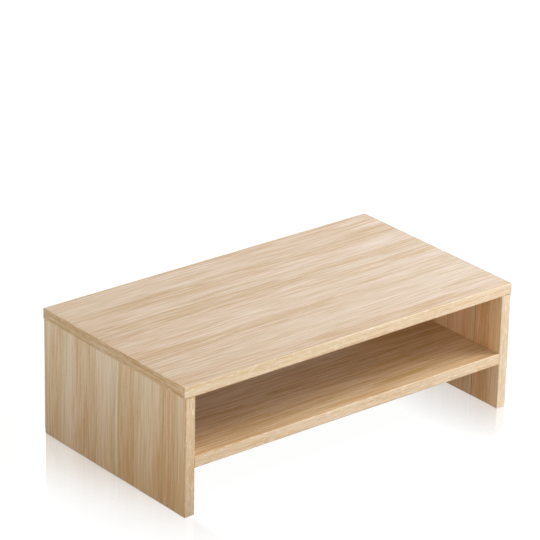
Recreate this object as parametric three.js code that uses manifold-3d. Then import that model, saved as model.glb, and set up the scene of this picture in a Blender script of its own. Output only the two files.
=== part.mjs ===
// A two-tier desk riser of wood-grain board: a top panel on two side panels, and a shelf between them.
// Each board is a particleboard core with a laminate on both faces and bands on the edges that show.
// Hidden cam fittings and dowels join the boards. A cam turns half a turn to let its bolt go.
// Millimetres, +Z up, +Y to the back. The origin is on the desk, under the middle of the stand.
import * as THREE from "three";
import { mergeVertices } from "three/addons/utils/BufferGeometryUtils.js";
import Module from "manifold-3d";

const wasm = await Module();
wasm.setup();

// Driving dimensions
const stand = {
  width: 425,
  depth: 235,
  height: 140,
  lowerBay: 51, // from the desk up to the shelf
  topOverhang: 1, // the top panel's reach past each side panel
};
const board = { thickness: 12, laminate: 0.25, blindWall: 2.25 }; // blindWall is left under a face bore
const band = { thickness: 1, round: 0.75 };
const fitting = {
  dowelInset: 37.5, // from a board's front or back edge to its dowel
  dowelToCam: 32, // from the dowel on to the cam
  camSetback: 24, // from the face that holds the bolt to the cam's axis
};
const gap = { glue: 0.05, butt: 0.1, round: 0.2, end: 0.25 };
const overrun = 2; // how far a cutting tool reaches past what it cuts

// Fittings
const bolt = {
  headRadius: 3,
  headFlat: 0.4, // cut off the ball's tip
  neckRadius: 1.9,
  shankRadius: 3,
  threadRadius: 2.9,
  collarRim: 0.4,
  collarLength: 0.8,
  taper: 0.6,
};
const cam = {
  radius: 7.4,
  sink: 0.25, // below the board's face
  floor: 0.5, // below the bolt's head
  baseRing: 0.9,
  throw: 1, // how far the spiral opens over its whole turn
  headGap: 0.3,
  slotGap: 0.25,
  recessDepth: 1.4,
  recessLength: 7.2,
  recessWidth: 1.7,
};
const insert = { wall: 1.8, barb: 0.4, barbPitch: 2.4, rim: 1.2, sink: 0.1 };
const dowel = { radius: 3, length: 30, flute: 0.25, chamfer: 0.8 };

// How finely the round shapes are divided
const sides = { bore: 16, cam: 24, turned: 12, ball: 4, edge: 3, flutes: 8 };

// Sizes that follow from the ones above
const halfTurn = Math.PI;
const quarterTurn = halfTurn / 2;
const halfDepth = stand.depth / 2;
const halfBoard = board.thickness / 2;
const skin = board.laminate + gap.glue;
const bandSeat = band.thickness + gap.glue;
const topUnderside = stand.height - board.thickness;
const sideInner = stand.width / 2 - stand.topOverhang - board.thickness;
const sideMiddle = sideInner + halfBoard;
const shelfMiddle = stand.lowerBay + halfBoard;
const faceBoreDepth = board.thickness - board.blindWall;
const dowelLow = gap.end - faceBoreDepth;
const dowelHigh = dowelLow + dowel.length;
const collarRadius = bolt.shankRadius + bolt.collarRim;
const insertInner = bolt.threadRadius + gap.round;
const insertOuter = insertInner + insert.wall;
const insertLength = faceBoreDepth - insert.sink - gap.end;
const camBottom = -(bolt.headRadius + cam.floor);
const camTop = halfBoard - cam.sink;
const camReach = cam.radius + overrun;
const headRoom = bolt.headRadius + cam.headGap;
const neckRoom = bolt.neckRadius + cam.slotGap;

const materials = {
  laminate: new THREE.MeshStandardMaterial({ color: 0xdcc4a0, roughness: 0.55, metalness: 0 }),
  edgeBand: new THREE.MeshStandardMaterial({ color: 0xe2c89f, roughness: 0.5, metalness: 0 }),
  particleboard: new THREE.MeshStandardMaterial({ color: 0xb8966a, roughness: 0.95, metalness: 0 }),
  zinc: new THREE.MeshStandardMaterial({ color: 0xa9abad, roughness: 0.4, metalness: 1 }),
  steel: new THREE.MeshStandardMaterial({ color: 0xc4c2b8, roughness: 0.3, metalness: 1 }),
  nylon: new THREE.MeshStandardMaterial({ color: 0xece9e0, roughness: 0.6, metalness: 0 }),
  beech: new THREE.MeshStandardMaterial({ color: 0xcfa576, roughness: 0.8, metalness: 0 }),
};

// A closed three.js geometry, placed by a matrix, as a solid that can be joined and cut.
// A turned shape's triangles that shrink to nothing on its axis are left out.
function solidOf(geometry, matrix = new THREE.Matrix4()) {
  const bare = geometry.clone();
  bare.deleteAttribute("normal");
  bare.deleteAttribute("uv");
  bare.clearGroups();
  const merged = mergeVertices(bare.applyMatrix4(matrix));
  const corners = merged.index.array;
  const triangles = [];
  for (let at = 0; at < corners.length; at += 3) {
    const [a, b, c] = corners.slice(at, at + 3);
    if (a !== b && b !== c && c !== a) {
      triangles.push(a, b, c);
    }
  }
  const mesh = new wasm.Mesh({
    numProp: 3,
    vertProperties: merged.getAttribute("position").array,
    triVerts: new Uint32Array(triangles),
  });
  return new wasm.Manifold(mesh);
}

// The finished solid as a three.js geometry.
function geometryOf(solid) {
  const mesh = solid.getMesh();
  const geometry = new THREE.BufferGeometry();
  geometry.setAttribute("position", new THREE.BufferAttribute(mesh.vertProperties, 3));
  geometry.setIndex(new THREE.BufferAttribute(mesh.triVerts, 1));
  geometry.computeVertexNormals();
  return geometry;
}

function addMesh(group, name, geometry, material) {
  const mesh = new THREE.Mesh(geometry, material);
  mesh.name = name;
  group.add(mesh);
  return mesh;
}

// A box given by its lowest and highest corners.
function boxBetween(low, high) {
  const size = high.map((value, axis) => value - low[axis]);
  const middle = high.map((value, axis) => (value + low[axis]) / 2);
  return solidOf(new THREE.BoxGeometry(...size).translate(...middle));
}

// An outline in XY, extruded from one height to another.
function extruded(outline, low, high) {
  const settings = { depth: high - low, bevelEnabled: false, curveSegments: sides.edge };
  return new THREE.ExtrudeGeometry(outline, settings).translate(0, 0, low);
}

// A rectangle with rounded corners, given by its lowest and highest corners.
function roundedRectangle([lowX, lowY], [highX, highY]) {
  const r = Math.min(band.round, band.thickness);
  const outline = new THREE.Shape();
  outline.absarc(highX - r, highY - r, r, 0, quarterTurn, false);
  outline.absarc(lowX + r, highY - r, r, quarterTurn, halfTurn, false);
  outline.absarc(lowX + r, lowY + r, r, halfTurn, halfTurn + quarterTurn, false);
  outline.absarc(highX - r, lowY + r, r, halfTurn + quarterTurn, halfTurn * 2, false);
  outline.closePath();
  return outline;
}

// An outline through points given by angle and radius.
function polarOutline(count, radiusAt, angleAt) {
  const points = [];
  for (let step = 0; step < count; step += 1) {
    const point = new THREE.Vector2(radiusAt(step), 0);
    points.push(point.rotateAround(new THREE.Vector2(), angleAt(step)));
  }
  return new THREE.Shape(points);
}

// Turned parts are drawn along Y as [radius, height] points and laid along +X.
function turned(points) {
  const profile = points.map(([radius, height]) => new THREE.Vector2(radius, height));
  return new THREE.LatheGeometry(profile, sides.turned).rotateZ(-quarterTurn);
}

// A round bar or drill along +X.
function barAlongX(radius, from, to) {
  const bar = new THREE.CylinderGeometry(radius, radius, to - from, sides.bore);
  return bar.rotateZ(-quarterTurn).translate((from + to) / 2, 0, 0);
}

// A round bar or drill along +Z, as finely divided as the cam.
function barAlongZ(radius, from, to) {
  const bar = new THREE.CylinderGeometry(radius, radius, to - from, sides.cam);
  return bar.rotateX(quarterTurn).translate(0, 0, (from + to) / 2);
}

// The rounded shape that a board's bands are cut to. A raw end stays square: the rounding runs past it.
function bandEnvelope(length, lowEndBanded, highEndBanded) {
  const lowX = lowEndBanded ? 0 : -overrun;
  const highX = highEndBanded ? length : length + overrun;
  const axes = [new THREE.Vector3(1, 0, 0), new THREE.Vector3(0, 1, 0), new THREE.Vector3(0, 0, 1)];
  const ranges = [
    [lowX, highX],
    [-halfDepth, halfDepth],
    [0, board.thickness],
  ];
  const prisms = [0, 1, 2].map((along) => {
    const across = (along + 1) % 3;
    const upward = (along + 2) % 3;
    const outline = roundedRectangle(
      [ranges[across][0], ranges[upward][0]],
      [ranges[across][1], ranges[upward][1]],
    );
    const prism = extruded(outline, ranges[along][0] - overrun, ranges[along][1] + overrun);
    return solidOf(prism, new THREE.Matrix4().makeBasis(axes[across], axes[upward], axes[along]));
  });
  return prisms[0].intersect(prisms[1]).intersect(prisms[2]);
}

// A board in its own frame: length along +X from zero, depth along Y about zero, thickness along +Z
// from zero. The bands on the long edges run its whole length, and the end bands fit between them.
function addBoard(parent, { name, length, faces, edges, ends, place, drills }) {
  const group = new THREE.Group();
  group.applyMatrix4(place);
  parent.add(group);
  const toBoard = place.clone().invert();
  const tools = drills.map((drill) => solidOf(drill.geometry, toBoard.clone().multiply(drill.frame)));

  const lowX = ends.low ? bandSeat : 0;
  const highX = ends.high ? length - bandSeat : length;
  const seatY = halfDepth - bandSeat;
  const addLayer = (layer, lowZ, highZ, material) => {
    const sheet = boxBetween([lowX, -seatY, lowZ], [highX, seatY, highZ]);
    const drilled = tools.reduce((solid, tool) => solid.subtract(tool), sheet);
    addMesh(group, name + "_" + layer, geometryOf(drilled), material);
  };
  addLayer("core", skin, board.thickness - skin, materials.particleboard);
  addLayer(faces.low + "_laminate", 0, board.laminate, materials.laminate);
  addLayer(
    faces.high + "_laminate",
    board.thickness - board.laminate,
    board.thickness,
    materials.laminate,
  );

  const envelope = bandEnvelope(length, Boolean(ends.low), Boolean(ends.high));
  const addBand = (edge, low, high) => {
    const strip = boxBetween([...low, 0], [...high, board.thickness]).intersect(envelope);
    addMesh(group, name + "_" + edge + "_edge_band", geometryOf(strip), materials.edgeBand);
  };
  addBand(edges.low, [0, -halfDepth], [length, band.thickness - halfDepth]);
  addBand(edges.high, [0, halfDepth - band.thickness], [length, halfDepth]);
  if (ends.low) {
    addBand(ends.low, [0, -seatY], [band.thickness, seatY]);
  }
  if (ends.high) {
    addBand(ends.high, [length - band.thickness, -seatY], [length, seatY]);
  }
}

// In a joint's frame the bolt lies along +X, from the face that holds it, and the cam's face is at +Z.
const drillGeometries = {
  insertBore: () => barAlongX(insertOuter + gap.round, -faceBoreDepth, overrun),
  boltBore: () => barAlongX(collarRadius + gap.round, -overrun, fitting.camSetback),
  camBore: () =>
    barAlongZ(cam.radius + gap.round, camBottom - gap.end, halfBoard + overrun).translate(
      fitting.camSetback,
      0,
      0,
    ),
  dowelFaceBore: () => barAlongX(dowel.radius + gap.round, -faceBoreDepth, overrun),
  dowelEdgeBore: () => barAlongX(dowel.radius + gap.round, -overrun, dowelHigh + gap.end),
};

// The cam turns about Z. At rest the bolt comes in from -X, and the mouth that frees it looks to +X.
// Between them a slot for the neck runs round the +Y side, over a channel for the head that widens
// on the way, so that turning the cam back draws the head in.
function camGeometry() {
  const channelOutline = polarOutline(
    sides.cam,
    (step) => headRoom + (cam.throw * step) / sides.cam,
    (step) => halfTurn - (halfTurn * 2 * step) / sides.cam,
  );
  const slotOutline = polarOutline(
    sides.cam + 1,
    () => camReach,
    (step) => (halfTurn * step) / sides.cam,
  );
  const half = { length: cam.recessLength / 2, width: cam.recessWidth / 2 };
  const recessFloor = camTop - cam.recessDepth;
  const recessTop = camTop + overrun;
  const cuts = [
    solidOf(extruded(channelOutline, camBottom + cam.baseRing, headRoom)),
    solidOf(barAlongZ(headRoom, camBottom - overrun, camBottom + cam.baseRing + overrun)),
    solidOf(extruded(slotOutline, -neckRoom, neckRoom)),
    boxBetween([-camReach, -neckRoom, -neckRoom], [0, neckRoom, neckRoom]),
    boxBetween([0, -headRoom, camBottom - overrun], [camReach, headRoom, headRoom]),
    boxBetween([-half.length, -half.width, recessFloor], [half.length, half.width, recessTop]),
    boxBetween([-half.width, -half.length, recessFloor], [half.width, half.length, recessTop]),
  ];
  const body = solidOf(barAlongZ(cam.radius, camBottom, camTop));
  return geometryOf(cuts.reduce((solid, cut) => solid.subtract(cut), body));
}

// The bolt: its thread in the insert nut, its collar on the nut's rim, and its ball head in the cam.
function boltGeometry() {
  const shankEnd = fitting.camSetback - cam.radius - bolt.taper;
  const points = [
    [0, -insertLength],
    [bolt.threadRadius - bolt.taper, -insertLength],
    [bolt.threadRadius, bolt.taper - insertLength],
    [bolt.threadRadius, 0],
    [collarRadius, 0],
    [collarRadius, bolt.collarLength],
    [bolt.shankRadius, bolt.collarLength],
    [bolt.shankRadius, shankEnd - bolt.taper],
    [bolt.neckRadius, shankEnd],
  ];
  // The ball runs from where it meets the neck round to the flat on its tip.
  const first = Math.asin(bolt.neckRadius / bolt.headRadius);
  const last = halfTurn - Math.acos((bolt.headRadius - bolt.headFlat) / bolt.headRadius);
  for (let step = 0; step <= sides.ball; step += 1) {
    const angle = first + ((last - first) * step) / sides.ball;
    points.push([
      bolt.headRadius * Math.sin(angle),
      fitting.camSetback - bolt.headRadius * Math.cos(angle),
    ]);
  }
  points.push([0, fitting.camSetback + bolt.headRadius - bolt.headFlat]);
  return turned(points);
}

// The insert nut: a sleeve with a plain rim, and saw-tooth barbs that grip the board.
function insertGeometry() {
  const bottom = -insert.sink - insertLength;
  const root = insertOuter - insert.barb;
  const barbedLength = insertLength - insert.rim;
  const barbs = Math.max(1, Math.round(barbedLength / insert.barbPitch));
  const points = [
    [insertInner, bottom],
    [root, bottom],
  ];
  for (let count = 1; count <= barbs; count += 1) {
    const height = bottom + (barbedLength * count) / barbs;
    points.push([insertOuter, height]);
    if (count < barbs) {
      points.push([root, height]);
    }
  }
  points.push([insertOuter, -insert.sink], [insertInner, -insert.sink], [insertInner, bottom]);
  return turned(points);
}

// The dowel: a fluted bar whose ends are chamfered by a turned shape round it.
function dowelGeometry() {
  const corners = sides.flutes * 2;
  const section = polarOutline(
    corners,
    (step) => (step % 2 ? dowel.radius - dowel.flute : dowel.radius),
    (step) => (halfTurn * 2 * step) / corners,
  );
  const bar = solidOf(
    extruded(section, dowelLow, dowelHigh),
    new THREE.Matrix4().makeRotationY(quarterTurn),
  );
  const chamfered = turned([
    [0, dowelLow],
    [dowel.radius - dowel.chamfer, dowelLow],
    [dowel.radius + overrun, dowelLow + dowel.chamfer + overrun],
    [dowel.radius + overrun, dowelHigh - dowel.chamfer - overrun],
    [dowel.radius - dowel.chamfer, dowelHigh],
    [0, dowelHigh],
  ]);
  return geometryOf(bar.intersect(solidOf(chamfered)));
}

const up = new THREE.Vector3(0, 0, 1);
const down = new THREE.Vector3(0, 0, -1);
const left = new THREE.Vector3(-1, 0, 0);
const right = new THREE.Vector3(1, 0, 0);

// A frame with its X, Z and so Y directions, and its place.
function frameAt(alongX, alongZ, x, y, z) {
  const alongY = new THREE.Vector3().crossVectors(alongZ, alongX);
  return new THREE.Matrix4().makeBasis(alongX, alongY, alongZ).setPosition(x, y, z);
}

// Each joint's bolts are held by one board and reach along a direction into the board with the cams.
const joints = [
  {
    name: "top_left",
    boltBoard: "top_panel",
    camBoard: "left_panel",
    reach: down,
    camFace: right,
    x: -sideMiddle,
    z: topUnderside,
  },
  {
    name: "top_right",
    boltBoard: "top_panel",
    camBoard: "right_panel",
    reach: down,
    camFace: left,
    x: sideMiddle,
    z: topUnderside,
  },
  {
    name: "shelf_left",
    boltBoard: "left_panel",
    camBoard: "shelf",
    reach: right,
    camFace: down,
    x: -sideInner,
    z: shelfMiddle,
  },
  {
    name: "shelf_right",
    boltBoard: "right_panel",
    camBoard: "shelf",
    reach: left,
    camFace: down,
    x: sideInner,
    z: shelfMiddle,
  },
];
const rows = [
  { name: "front", direction: -1 },
  { name: "back", direction: 1 },
];
const dowelOffset = halfDepth - fitting.dowelInset;
const camOffset = dowelOffset - fitting.dowelToCam;

// The fittings' places, and from them the bores of each board.
const fittings = [];
const drills = { top_panel: [], left_panel: [], right_panel: [], shelf: [] };
for (const { name, boltBoard, camBoard, reach, camFace, x, z } of joints) {
  for (const row of rows) {
    const camFrame = frameAt(reach, camFace, x, row.direction * camOffset, z);
    const dowelFrame = frameAt(reach, camFace, x, row.direction * dowelOffset, z);
    fittings.push({ name: name + "_" + row.name, camFrame, dowelFrame });
    const drill = (boardName, bore, frame) => {
      drills[boardName].push({ geometry: drillGeometries[bore](), frame });
    };
    drill(boltBoard, "insertBore", camFrame);
    drill(boltBoard, "dowelFaceBore", dowelFrame);
    drill(camBoard, "boltBore", camFrame);
    drill(camBoard, "camBore", camFrame);
    drill(camBoard, "dowelEdgeBore", dowelFrame);
  }
}

const monitorStand = new THREE.Group();

addBoard(monitorStand, {
  name: "top_panel",
  length: stand.width,
  faces: { low: "lower", high: "upper" },
  edges: { low: "front", high: "back" },
  ends: { low: "left", high: "right" },
  place: frameAt(right, up, -stand.width / 2, 0, topUnderside),
  drills: drills.top_panel,
});

addBoard(monitorStand, {
  name: "shelf",
  length: (sideInner - gap.butt) * 2,
  faces: { low: "lower", high: "upper" },
  edges: { low: "front", high: "back" },
  ends: {},
  place: frameAt(right, up, gap.butt - sideInner, 0, stand.lowerBay),
  drills: drills.shelf,
});

// A side panel's length runs up from the desk, and its thickness outwards from its inner face.
const sidePanels = [
  { name: "left_panel", outward: left, edges: { low: "front", high: "back" } },
  { name: "right_panel", outward: right, edges: { low: "back", high: "front" } },
];
for (const { name, outward, edges } of sidePanels) {
  addBoard(monitorStand, {
    name,
    length: topUnderside - gap.butt,
    faces: { low: "inner", high: "outer" },
    edges,
    ends: { low: "bottom" },
    place: frameAt(up, outward, outward.x * sideInner, 0, 0),
    drills: drills[name],
  });
}

for (const { name, camFrame, dowelFrame } of fittings) {
  const camJoint = new THREE.Group();
  camJoint.applyMatrix4(camFrame);
  monitorStand.add(camJoint);
  addMesh(camJoint, "cam_bolt_" + name, boltGeometry(), materials.steel);
  addMesh(camJoint, "insert_nut_" + name, insertGeometry(), materials.nylon);
  const lock = addMesh(camJoint, "cam_lock_" + name, camGeometry(), materials.zinc);
  lock.position.x = fitting.camSetback;

  const dowelJoint = new THREE.Group();
  dowelJoint.applyMatrix4(dowelFrame);
  monitorStand.add(dowelJoint);
  addMesh(dowelJoint, "dowel_" + name, dowelGeometry(), materials.beech);
}

export default monitorStand;
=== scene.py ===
import math
import bmesh
import bpy
from mathutils import Matrix, Quaternion, Vector


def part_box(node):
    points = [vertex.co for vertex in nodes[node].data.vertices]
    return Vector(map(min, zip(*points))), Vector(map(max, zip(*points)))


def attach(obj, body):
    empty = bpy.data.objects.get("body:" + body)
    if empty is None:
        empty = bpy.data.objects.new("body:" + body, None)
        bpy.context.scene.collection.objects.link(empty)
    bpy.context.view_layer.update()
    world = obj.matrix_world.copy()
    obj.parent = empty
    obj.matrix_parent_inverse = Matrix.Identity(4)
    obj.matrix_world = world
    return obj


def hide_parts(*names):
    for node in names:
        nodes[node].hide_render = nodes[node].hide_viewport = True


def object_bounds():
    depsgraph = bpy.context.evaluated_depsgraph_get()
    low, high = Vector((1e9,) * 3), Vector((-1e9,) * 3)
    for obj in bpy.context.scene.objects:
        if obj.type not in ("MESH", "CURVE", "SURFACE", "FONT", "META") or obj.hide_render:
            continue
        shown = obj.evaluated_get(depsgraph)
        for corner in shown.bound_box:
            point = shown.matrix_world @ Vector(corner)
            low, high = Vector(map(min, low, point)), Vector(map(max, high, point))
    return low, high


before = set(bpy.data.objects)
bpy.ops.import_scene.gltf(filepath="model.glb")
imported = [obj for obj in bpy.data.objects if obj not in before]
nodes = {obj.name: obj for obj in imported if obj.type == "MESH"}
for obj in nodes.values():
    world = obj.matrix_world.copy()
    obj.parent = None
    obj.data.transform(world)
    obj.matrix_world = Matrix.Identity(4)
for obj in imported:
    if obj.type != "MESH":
        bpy.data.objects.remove(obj)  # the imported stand: 56 nodes, eight of them turning cams
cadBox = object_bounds()
mm = 0.001
axisNames = "xyz"
print("frame loaded:", len(nodes), "nodes")


# selecting and editing

def deselectAll():
    if bpy.context.mode != "OBJECT":
        bpy.ops.object.mode_set(mode="OBJECT")
    bpy.ops.object.select_all(action="DESELECT")


def makeActive(piece):
    deselectAll()
    piece.select_set(True)
    bpy.context.view_layer.objects.active = piece


def startEdit(piece, kind="EDGE"):  # with all of it selected
    makeActive(piece)
    bpy.ops.object.mode_set(mode="EDIT")
    bpy.ops.mesh.select_mode(type=kind)
    bpy.ops.mesh.select_all(action="SELECT")


def endEdit():
    bpy.ops.object.mode_set(mode="OBJECT")


def pick(piece, parts, test):  # parts is verts, edges or faces of the piece in edit mode
    bpy.ops.mesh.select_all(action="DESELECT")
    mesh = bmesh.from_edit_mesh(piece.data)
    for part in getattr(mesh, parts):
        if test(part):
            part.select_set(True)
    mesh.select_flush_mode()
    bmesh.update_edit_mesh(piece.data)


def applyPlace(piece):  # the object goes back to the origin and its place into the mesh
    makeActive(piece)
    bpy.ops.object.transform_apply(location=True, rotation=True, scale=True)


def addBlock(name, low, high):
    deselectAll()
    bpy.ops.mesh.primitive_cube_add(size=1, location=(low + high) / 2)
    block = bpy.context.object
    block.name = name
    block.scale = high - low
    applyPlace(block)
    return block


def turnPiece(name, sides, profile):  # profile: radius and height in mm, drawn up about Z by extruding
    radius, height = profile[0]
    deselectAll()
    bpy.ops.mesh.primitive_circle_add(
        vertices=sides, radius=radius * mm, fill_type="NGON", location=(0, 0, height * mm))
    piece = bpy.context.object
    piece.name = name
    applyPlace(piece)
    startEdit(piece, "FACE")
    for (oldRadius, oldHeight), (newRadius, newHeight) in zip(profile, profile[1:]):
        rise = (0, 0, (newHeight - oldHeight) * mm)
        share = newRadius / oldRadius
        bpy.ops.mesh.extrude_region_move(TRANSFORM_OT_translate={"value": rise})
        bpy.ops.transform.resize(value=(share, share, 1), center_override=(0, 0, newHeight * mm))
    facesOut(piece)
    return piece


def facesOut(piece):
    startEdit(piece, "FACE")
    bpy.ops.mesh.normals_make_consistent(inside=False)
    endEdit()


def layAlongX(piece):
    piece.rotation_euler = (0, math.pi / 2, 0)
    applyPlace(piece)


def moveCorners(piece, move):  # move takes a corner's place in mm and gives the new one
    startEdit(piece, "VERT")
    mesh = bmesh.from_edit_mesh(piece.data)
    for corner in mesh.verts:
        corner.co = move(corner.co / mm) * mm
    bmesh.update_edit_mesh(piece.data)
    endEdit()


def roundEdges(piece, test, width, segments):
    startEdit(piece)
    pick(piece, "edges", test)
    bpy.ops.mesh.bevel(offset=width, segments=segments, profile=0.5)
    endEdit()


def addModifier(piece, kind, **settings):
    makeActive(piece)
    modifier = piece.modifiers.new(kind.lower(), kind)
    for setting, value in settings.items():
        setattr(modifier, setting, value)
    bpy.ops.object.modifier_apply(modifier=modifier.name)


def cutAway(piece, tools):
    for tool in tools:
        addModifier(piece, "BOOLEAN", object=tool, operation="DIFFERENCE", solver="EXACT")
        bpy.data.objects.remove(tool)


def smoothShade(piece, angle=30):
    makeActive(piece)
    bpy.ops.object.shade_smooth_by_angle(angle=math.radians(angle))
    addModifier(piece, "WEIGHTED_NORMAL", keep_sharp=True, weight=100)


def hand(piece, material, slot, body, *replaced):  # gives a finished piece its finish and body, and hides the nodes it replaces
    piece.data.materials.clear()
    piece.data.materials.append(material)
    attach(piece, body)
    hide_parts(*replaced)


# shader nodes

def paint(red, green, blue):  # a screen colour, 0 to 255, as Blender's linear one
    def linear(value):
        share = value / 255
        return share / 12.92 if share <= 0.04045 else ((share + 0.055) / 1.055) ** 2.4
    return linear(red), linear(green), linear(blue), 1.0


def feed(tree, socket, value):
    if isinstance(value, bpy.types.NodeSocket):
        tree.links.new(value, socket)
    else:
        socket.default_value = value


def addMath(tree, operation, first, second=0.0):
    node = tree.nodes.new("ShaderNodeMath")
    node.operation = operation
    feed(tree, node.inputs[0], first)
    feed(tree, node.inputs[1], second)
    return node.outputs[0]


def less(tree, first, second):
    return addMath(tree, "SUBTRACT", first, second)


def over(tree, first, second):
    return addMath(tree, "DIVIDE", first, second)


def addAll(tree, first, *others):
    for other in others:
        first = addMath(tree, "ADD", first, other)
    return first


def times(tree, first, *others):
    for other in others:
        first = addMath(tree, "MULTIPLY", first, other)
    return first


def addNoise(tree, vector, detail=1.0, roughness=0.5):
    node = tree.nodes.new("ShaderNodeTexNoise")
    feed(tree, node.inputs["Vector"], vector)
    node.inputs["Scale"].default_value = 1.0
    node.inputs["Detail"].default_value = detail
    node.inputs["Roughness"].default_value = roughness
    return node.outputs["Fac"]


def addCells(tree, vector):  # gives each cell's own colour and the way to its middle
    node = tree.nodes.new("ShaderNodeTexVoronoi")
    feed(tree, node.inputs["Vector"], vector)
    node.inputs["Scale"].default_value = 1.0
    return node.outputs["Color"], node.outputs["Distance"]


def addRange(tree, value, low, high, outLow=0.0, outHigh=1.0, smooth=True):
    node = tree.nodes.new("ShaderNodeMapRange")
    node.interpolation_type = "SMOOTHSTEP" if smooth else "LINEAR"
    for socket, given in zip(node.inputs, (value, low, high, outLow, outHigh)):
        feed(tree, socket, given)
    return node.outputs[0]


def addMix(tree, share, first, second, blend="MIX"):
    node = tree.nodes.new("ShaderNodeMix")
    node.data_type = "RGBA"
    node.blend_type = blend
    node.clamp_factor = True
    feed(tree, node.inputs["Factor"], share)
    feed(tree, node.inputs["A"], first)
    feed(tree, node.inputs["B"], second)
    return node.outputs["Result"]


def joinXyz(tree, x, y, z):
    node = tree.nodes.new("ShaderNodeCombineXYZ")
    for socket, value in zip(node.inputs, (x, y, z)):
        feed(tree, socket, value)
    return node.outputs[0]


def splitXyz(tree, vector):
    node = tree.nodes.new("ShaderNodeSeparateXYZ")
    feed(tree, node.inputs[0], vector)
    return node.outputs


def newGroup(name, inputs, outputs):  # inputs by name: a number, a colour, or None for a vector
    group = bpy.data.node_groups.new(name, "ShaderNodeTree")
    for socketName, value in inputs.items():
        kind = {float: "Float", tuple: "Color"}.get(type(value), "Vector")
        socket = group.interface.new_socket(socketName, in_out="INPUT", socket_type="NodeSocket" + kind)
        if value is not None:
            socket.default_value = value
    for socketName in outputs:
        kind = "Color" if socketName == "Color" else "Float"
        group.interface.new_socket(socketName, in_out="OUTPUT", socket_type="NodeSocket" + kind)
    return group, group.nodes.new("NodeGroupInput").outputs, group.nodes.new("NodeGroupOutput").inputs


def useGroup(tree, group, values):
    node = tree.nodes.new("ShaderNodeGroup")
    node.node_tree = group
    for socketName, value in values.items():
        feed(tree, node.inputs[socketName], value)
    return node.outputs


def newMaterial(name, **constants):  # constants go straight to the shader's own sockets
    material = bpy.data.materials.new(name)
    material.use_nodes = True
    tree = material.node_tree
    shader = tree.nodes["Principled BSDF"]
    for socketName, value in constants.items():
        shader.inputs[socketName].default_value = value
    place = tree.nodes.new("ShaderNodeTexCoord").outputs["Object"]
    parts = [over(tree, part, mm) for part in splitXyz(tree, place)]
    return material, tree, shader, dict(zip(axisNames, parts))


def addLooks(tree, shader, colour, made, depth):  # made has the roughness and a height, depth its bumps in mm
    feed(tree, shader.inputs["Base Color"], colour)
    feed(tree, shader.inputs["Roughness"], made["Roughness"])
    bump = tree.nodes.new("ShaderNodeBump")
    bump.inputs["Distance"].default_value = depth * mm
    feed(tree, bump.inputs["Height"], made["Height"])
    feed(tree, shader.inputs["Normal"], bump.outputs["Normal"])


# oak print, with painted light: one group for the faces and the edge bands, with its vector in millimetres,
# the grain along X; its drift paints shade and light along a board

oakColours = {"Pale": paint(237, 215, 190), "Warm": paint(212, 176, 130), "Deep": paint(150, 113, 76)}
oakLayers = {  # noises: mm along and across the grain, a shift of their own, and the values they run between
    "wander": {"size": (170, 90), "shift": 0.3},
    "strips": {"size": (450, 21), "shift": 11.3, "ends": (0.36, 0.64)},
    "streaks": {"size": (120, 7.0), "shift": 23.1, "ends": (0.3, 0.7), "detail": 1.5},
    "lines": {"size": (75, 1.9), "shift": 37.7, "ends": (0.3, 0.7), "detail": 2.0, "roughness": 0.6},
    "hairs": {"size": (28, 0.8), "shift": 41.9, "ends": (0.3, 0.7)},
    "hue": {"size": (400, 13), "shift": 53.3, "ends": (0.36, 0.64)},
    "pores": {"size": (9, 0.32), "shift": 61.7, "ends": (0.57, 0.69)},
    "flecks": {"shift": 71.2, "ends": (0.55, 0.65), "detail": 1.5},  # each board has its own size
    "breaks": {"size": (70, 900), "shift": 83.1, "ends": (0.3, 0.6)},
}
oakPrintAndLight = {  # the rest of what every oak face shares
    "pinkish": (1.035, 0.99, 0.98, 1),  # these four multiply the colour
    "greenish": (0.97, 1.01, 0.955, 1),
    # painted shade at a drift's start and painted light at its end, for how light falls along a board
    "shadedDriftTone": (0.87, 0.745, 0.56, 1),
    "litDriftTone": (1.09, 1.18, 1.36, 1),
    "fleckColour": paint(247, 237, 229),
    "fleckLean": -0.015,  # how far the dashes turn from the grain
    "markBend": 0.35,  # the share of the wander that a marked line follows
    "markEdge": 0.8,  # mm, how softly it starts on either side
    "markPale": paint(236, 228, 206),
    "markDark": paint(136, 80, 42),
    "smooth": 0.43,  # roughness where the print is pale
    "rough": 0.50,
    "bump": 0.02,  # mm
}


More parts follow.
